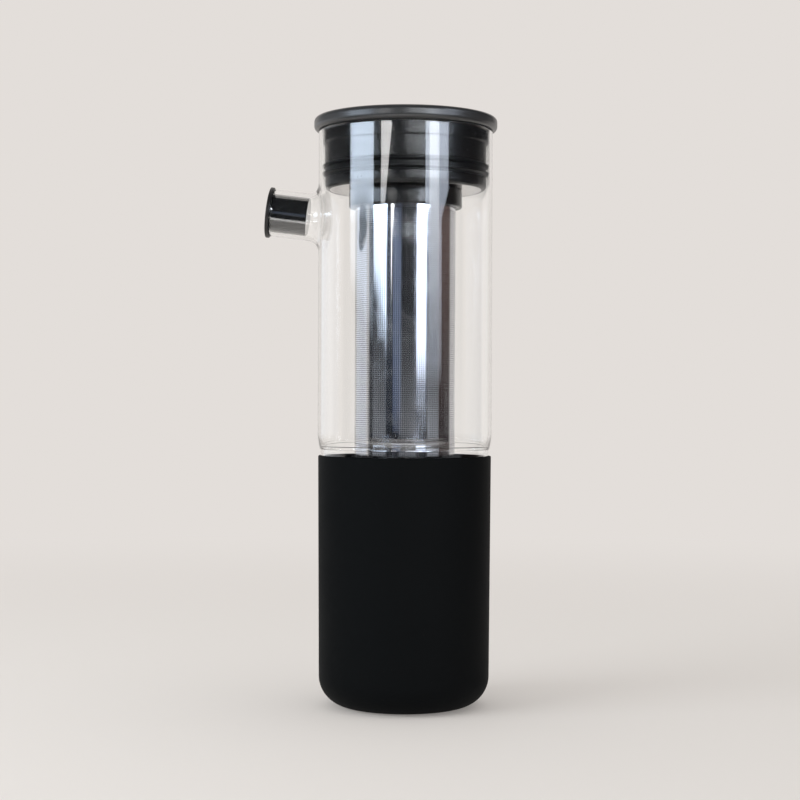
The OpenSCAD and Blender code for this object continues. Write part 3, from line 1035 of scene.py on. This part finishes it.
# %% [markdown]
# The floor of the infuser is a round screen with the same grid. It starts from a square grid too: the
# faces outside the circle are deleted, the points near the edge are moved onto it, and only the faces
# well inside it get holes, so that the foot ring grips a plain rim.

# %% Infuser floor
SCREEN_R = 24.9
SCREEN_RIM = 3.4
SCREEN_COLUMNS = 52
SCREEN_THINNING = 0.98
EDGE_PULL = 0.72


def screen_tree():
    """A round screen with a square grid of holes and a plain rim."""
    tree, given, out = start_tree(
        "perforated_screen", "Blank", ["Radius", "Rim", "Level", "Pitch", "Hole Share", "Columns"])
    side = number(tree, "MULTIPLY", (given, "Columns"), (given, "Pitch"))
    points = number(tree, "ADD", (given, "Columns"), 1)
    sheet = put(tree, "GeometryNodeMeshGrid", Size_X=side, Size_Y=side, Vertices_X=points,
                Vertices_Y=points)
    where = put(tree, "GeometryNodeInputPosition")
    span = put(tree, "ShaderNodeVectorMath", {"operation": "LENGTH"}, Vector=(where, 0))
    reach = (span, "Value")
    trim = put(tree, "GeometryNodeDeleteGeometry", {"domain": "FACE"},
               Selection=number(tree, "GREATER_THAN", reach, (given, "Radius")))
    chain_nodes(tree, [sheet, trim])
    inner = number(tree, "SUBTRACT", (given, "Radius"), (given, "Rim"))
    pierced = pierce(tree, trim, number(tree, "LESS_THAN", reach, inner), given)
    pull = number(tree, "MULTIPLY", (given, "Pitch"), EDGE_PULL)
    outer = number(tree, "SUBTRACT", (given, "Radius"), pull)
    unit = put(tree, "ShaderNodeVectorMath", {"operation": "NORMALIZE"}, Vector=(where, 0))
    edge = put(tree, "ShaderNodeVectorMath", {"operation": "SCALE"}, Vector=(unit, 0),
               Scale=(given, "Radius"))
    rounded = put(tree, "GeometryNodeSetPosition", Selection=number(tree, "GREATER_THAN", reach, outer),
                  Position=(edge, 0))
    weld = put(tree, "GeometryNodeMergeByDistance", Distance=WELD)
    end_tree(tree, given, out, [pierced, rounded, lifted(tree, (given, "Level")), weld])
    return tree


screen_low, screen_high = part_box("infuser_screen")
tree_piece(
    "infuser_floor_mesh", screen_tree(), "infuser", "infuser_screen", "perforated_steel",
    thickness=SHEET * MM * SCREEN_THINNING, Radius=SCREEN_R * MM, Rim=SCREEN_RIM * MM,
    Level=(screen_low.z + screen_high.z) / 2, Pitch=HOLE_PITCH * MM, Hole_Share=HOLE_SHARE,
    Columns=SCREEN_COLUMNS, Finish=mesh_steel)

# %% [markdown]
# ## The stopper
# The stopper is a satin black disc with a core, and a glossy silicone cup pulled over the core, which
# seals the spout's bore. They are turned about Z like the rest and then laid along the spout's axis by
# a matrix, so their objects still sit at the origin.

# %% Stopper
STOPPER_HEAD_R = 12.6
STOPPER_HEAD_T = 1.8
STOPPER_HEAD_EDGE = 0.4
STOPPER_SEAT = 0.2
STOPPER_DEPTH = 18.1
CORE_R = 7.9
SEAL_R = 9.6
SEAL_END_T = 1.2

head_z = SPOUT_REACH + STOPPER_SEAT
end_z = SPOUT_REACH - STOPPER_DEPTH
on_spout = Matrix.Translation(spout_start * MM) @ Matrix.Rotation(SPOUT_TILT - math.pi / 2, 4, "Y")

turned_piece("stopper_plug", [
    (0, end_z + SEAL_END_T + SLACK, 0),
    (CORE_R, end_z + SEAL_END_T + SLACK, 0.3),
    (CORE_R, head_z, 0.2),
    (STOPPER_HEAD_R, head_z, STOPPER_HEAD_EDGE),
    (STOPPER_HEAD_R, head_z + STOPPER_HEAD_T, STOPPER_HEAD_EDGE),
    (0, head_z + STOPPER_HEAD_T, 0),
], stopper_black, "stopper", "stopper_cap", steps=96, place=on_spout)

turned_piece("stopper_sleeve", [
    (0, end_z, 0),
    (SEAL_R, end_z, 0.25),
    (SEAL_R, head_z - SLACK, 0.3),
    (CORE_R + SLACK, head_z - SLACK, 0.3),
    (CORE_R + SLACK, end_z + SEAL_END_T, 0.3),
    (0, end_z + SEAL_END_T, 0),
], wet_seal_black, "stopper", "stopper_seal", steps=96, place=on_spout)

# %% [markdown]
# ## The studio
# The pitcher stands on a seamless pale sweep. Behind it all is pale, and the room behind the camera is
# dark apart from a few lit panels, which is what draws the bright bands on the glass and steel. A real
# sweep would stand in the way of views from other sides, so the world and the far floor play its part:
# they show the sweep's colour to the camera, and to what the glass and metal show. Straight through the
# glass the sweep is a little brighter, which makes up for what four faces of glass send back. Only a
# ray that was mirrored, and leaves towards the camera's side, finds the dark room.

# %% Surround
SWEEP_COLOUR = (0.768, 0.73, 0.7, 1)
THROUGH_COLOUR = (0.868, 0.825, 0.79, 1)
ROOM_COLOUR = (0.014, 0.014, 0.016, 1)
FILL_COLOUR = (0.81, 0.787, 0.764, 1)
ROOM_LEFT = (-92, -83, 48)
ROOM_RIGHT = (130, 120, -24)
LEAN_START = 0.113
LEAN_END = 0.122


def room_share(tree, direction):
    """
    How much of the dark room a direction shows: none, unless the ray was mirrored to the front. Each end
    of the room is an outer and an inner bearing, and the degrees that it leans back with height.
    """
    path = put(tree, "ShaderNodeLightPath")
    split = put(tree, "ShaderNodeSeparateXYZ", Vector=direction)
    bearing = number(tree, "ARCTAN2", (split, "X"), number(tree, "MULTIPLY", (split, "Y"), -1))
    rise = ramp(tree, (split, "Z"), LEAN_START, LEAN_END)
    share = number(tree, "MINIMUM", (path, "Glossy Depth"), 1)
    for end in (ROOM_LEFT, ROOM_RIGHT):
        outer, inner, lean = (math.radians(value) for value in end)
        leaning = number(tree, "MULTIPLY_ADD", rise, lean, bearing)
        share = number(tree, "MULTIPLY", share, ramp(tree, leaning, outer, inner, smooth=True))
    return share, path


def straight_through(tree, path):
    """1 for a ray that went through glass and was mirrored nowhere."""
    straight = number(tree, "SUBTRACT", 1, number(tree, "MINIMUM", (path, "Glossy Depth"), 1))
    return number(tree, "MULTIPLY", straight, (path, "Is Transmission Ray"))


world = bpy.data.worlds.new("studio")
scene.world = world
world.use_nodes = True
sky = world.node_tree
place = put(sky, "ShaderNodeTexCoord")
share, path = room_share(sky, (place, "Generated"))
sweep = mixed_colour(sky, straight_through(sky, path), SWEEP_COLOUR, THROUGH_COLOUR)
shown = mixed_colour(sky, share, sweep, ROOM_COLOUR)
seen = number(sky, "MAXIMUM", (path, "Is Camera Ray"), (path, "Is Glossy Ray"))
seen = number(sky, "MAXIMUM", seen, (path, "Is Transmission Ray"))
feed(sky, sky.nodes["Background"], "Color", mixed_colour(sky, seen, FILL_COLOUR, shown))
print("world:", len(sky.nodes), "nodes")

# %% Floor
FLOOR_R = 6.0
FLOOR_DROP = 0.2 * MM
FLOOR_COLOUR = (0.8, 0.775, 0.75, 1)
PAPER_EDGE = 0.41
SHADOW_LIFT = 0.25
NEAR_FLOOR = 0.25
FAR_FLOOR = 1.1
PAPER_ROUGHNESS = 0.8
PAPER_SPECULAR = 0.2

floor_mesh = bpy.data.meshes.new("floor")
plan = bmesh.new()
bmesh.ops.create_circle(plan, cap_ends=True, segments=96, radius=FLOOR_R)
plan.to_mesh(floor_mesh)
plan.free()
floor = bpy.data.objects.new("floor", floor_mesh)
floor.location.z = -FLOOR_DROP
scene.collection.objects.link(floor)
floor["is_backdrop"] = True

paper, tree, shader = start_finish("pale_paper", Base_Color=FLOOR_COLOUR, Roughness=PAPER_ROUGHNESS,
                                   Specular_IOR_Level=PAPER_SPECULAR)
place = put(tree, "ShaderNodeTexCoord")
away = put(tree, "ShaderNodeVectorMath", {"operation": "NORMALIZE"}, Vector=(place, "Object"))
reach = put(tree, "ShaderNodeVectorMath", {"operation": "LENGTH"}, Vector=(place, "Object"))
share, path = room_share(tree, (away, 0))
sweep = mixed_colour(tree, straight_through(tree, path), SWEEP_COLOUR, THROUGH_COLOUR)
glow = put(tree, "ShaderNodeEmission", Color=sweep)
room = put(tree, "ShaderNodeEmission", Color=ROOM_COLOUR)
far = ramp(tree, (reach, "Value"), NEAR_FLOOR, FAR_FLOOR, SHADOW_LIFT, smooth=True)
past_edge = number(tree, "GREATER_THAN", (reach, "Value"), PAPER_EDGE)
blend = mixed_shader(tree, far, (shader, 0), (glow, 0))
whole = mixed_shader(tree, number(tree, "MULTIPLY", share, past_edge), blend, (room, 0))
feed(tree, tree.nodes["Material Output"], "Surface", whole)
floor_mesh.materials.append(paper)
print("floor:", FLOOR_R, "m in radius")

# %% [markdown]
# ## Lit panels
# Glass and steel show lamps as shapes, so each panel is placed where its mirror image has to be: a
# round wall turns a ray by twice the angle at which it is met. A wide cool panel and a narrow strip
# stand on the left, a panel with a bright core on the right, and two high cards light the middle and
# the right of the lid. Dim blue, brown and sky-coloured cards tint the dark between them, grey cards
# stand low for the tube's foot, and the paper in front is bright, which veils the shoulder of the
# glass. A bare area lamp has hard edges, but its shader can read where on the lamp a ray lands
# (Parametric), so a panel can dim towards one edge, lean or taper. Seen straight through the glass a
# panel would look like a white board, so there it doesn't glow. These panels only draw reflections. The
# soft light from the left comes from a lamp of its own.

# %% Lit panels
def lit_panel(name, bearing, spread, low, high, distance, level, colour, base=1.0, fade=(0.0, 0.1),
              soft=0.03, slant=0.0, taper=None, lies=False, shows=True, lights=False):
    """
    A panel at a bearing from the camera's direction, in degrees, right is positive. It stands from low
    to high, or lies on the floor from low to high away from the middle. Its glow grows from base to 1
    between the two heights of fade, soft is how gently its lower edge begins, slant lifts the left end of
    that edge, and taper gives two heights and the share of its width that is left at the lower one, where
    its right side closes in.
    """
    lamp = bpy.data.lights.new(name, "AREA")
    lamp.shape = "RECTANGLE"
    lamp.size = 2 * distance * math.tan(math.radians(spread / 2))
    lamp.size_y = high - low
    lamp.energy = level * math.pi * lamp.size * lamp.size_y
    lamp.use_nodes = True
    tree = lamp.node_tree
    glow = tree.nodes["Emission"]
    glow.inputs["Color"].default_value = (*colour, 1)

    place = put(tree, "ShaderNodeNewGeometry")
    split = put(tree, "ShaderNodeSeparateXYZ", Vector=(place, "Parametric"))
    height = number(tree, "MULTIPLY_ADD", (split, "Y"), high - low, low)
    strength = ramp(tree, height, *fade, base, 1)
    edge = number(tree, "MULTIPLY_ADD", (split, "X"), -slant, slant + low)
    above = number(tree, "SUBTRACT", height, edge)
    strength = number(tree, "MULTIPLY", strength, ramp(tree, above, 0, soft))
    if taper:
        taper_low, taper_high, share_left = taper
        width = ramp(tree, height, taper_low, taper_high, share_left, 1)
        inside = number(tree, "LESS_THAN", (split, "X"), width)
        strength = number(tree, "MULTIPLY", strength, inside)

    straight = straight_through(tree, put(tree, "ShaderNodeLightPath"))
    shown = number(tree, "SUBTRACT", 1, straight)
    feed(tree, glow, "Strength", number(tree, "MULTIPLY", strength, shown))

    angle = math.radians(bearing)
    out = -forward * math.cos(angle) + right * math.sin(angle)
    side = up.cross(out).normalized()
    if lies:
        axes = (side, out, -up)
        middle = out * (low + high) / 2
    else:
        axes = (side, up, out)
        middle = out * distance + up * (low + high) / 2
    panel = bpy.data.objects.new(name, lamp)
    scene.collection.objects.link(panel)
    panel.matrix_world = Matrix.Translation(middle) @ Matrix(axes).transposed().to_4x4()
    panel.visible_camera = False
    panel.visible_glossy = shows
    panel.visible_transmission = shows
    panel.visible_diffuse = lights
    print(f"{name}: {lamp.size:.2f} by {lamp.size_y:.2f} m, {lamp.energy:.1f} W")


COOL_WHITE = (0.95, 0.98, 1.02)
COOL_GREY = (0.95, 0.98, 1.03)
PALE_BLUE = (0.86, 0.95, 1.12)
LOW_CARDS = (("low_left_card", -60, 34, 0.24), ("low_card", 6, 38, 0.18), ("low_right_card", 67, 30, 0.4))

lit_panel("left_panel", -59.3, 34.5, 0.205, 0.52, 1.1, 7.2, (0.8, 0.93, 1.1), base=0.32,
          fade=(0.345, 0.378), soft=0.045, slant=0.07)
lit_panel("left_strip", -25, 14, 0.27, 0.52, 1.1, 7.0, (1.0, 0.99, 0.98), base=0.5, fade=(0.35, 0.4),
          taper=(0.33, 0.45, 0.15))
lit_panel("right_panel", 41.3, 31.5, 0.165, 0.5, 1.15, 5.1, PALE_BLUE, base=0.27,
          fade=(0.13, 0.45), taper=(0.355, 0.39, 0.7))
lit_panel("right_strip", 37.3, 13, 0.2, 0.5, 1.05, 5.0, COOL_WHITE, base=0.05, fade=(0.2, 0.42))
lit_panel("high_card", 20, 36, 0.48, 0.65, 1.2, 10.0, COOL_WHITE)
lit_panel("lid_card", 60, 14, 0.48, 1.0, 1.15, 7.0, PALE_BLUE)
lit_panel("blue_card", -18, 18, 0.1, 0.37, 1.2, 0.38, (0.55, 0.68, 1.0), base=0.5, fade=(0.1, 0.37))
lit_panel("brown_card", 101, 42, 0.0, 0.385, 1.2, 0.15, (1.0, 0.64, 0.53), base=0.2, fade=(0.12, 0.34))
lit_panel("sky_card", -121, 48, 0.0, 0.385, 1.2, 0.26, (0.72, 1.0, 1.4), base=0.65, fade=(0.13, 0.33))
for card, bearing, spread, level in LOW_CARDS:
    lit_panel(card, bearing, spread, 0.03, 0.26, 1.2, level, COOL_GREY, base=0.0, fade=(0.26, 0.1))
lit_panel("bright_paper", 0, 100, 0.27, 0.42, 0.345, 2.0, (1.0, 0.98, 0.97), lies=True)
lit_panel("left_key", -60, 40, 0.2, 0.85, 1.1, 4.6, (0.93, 0.97, 1.0), shows=False, lights=True)

# %% [markdown]
# Dressing a part must not change its size. The box of the solid model was kept at the start, so it is
# written beside the box of the dressed model, for a comparison after each run.

visual_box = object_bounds()
for name, box in (("solid", cad_box), ("dressed", visual_box)):
    print(name, "box:", [round(v / MM, 2) for corner in box for v in corner])
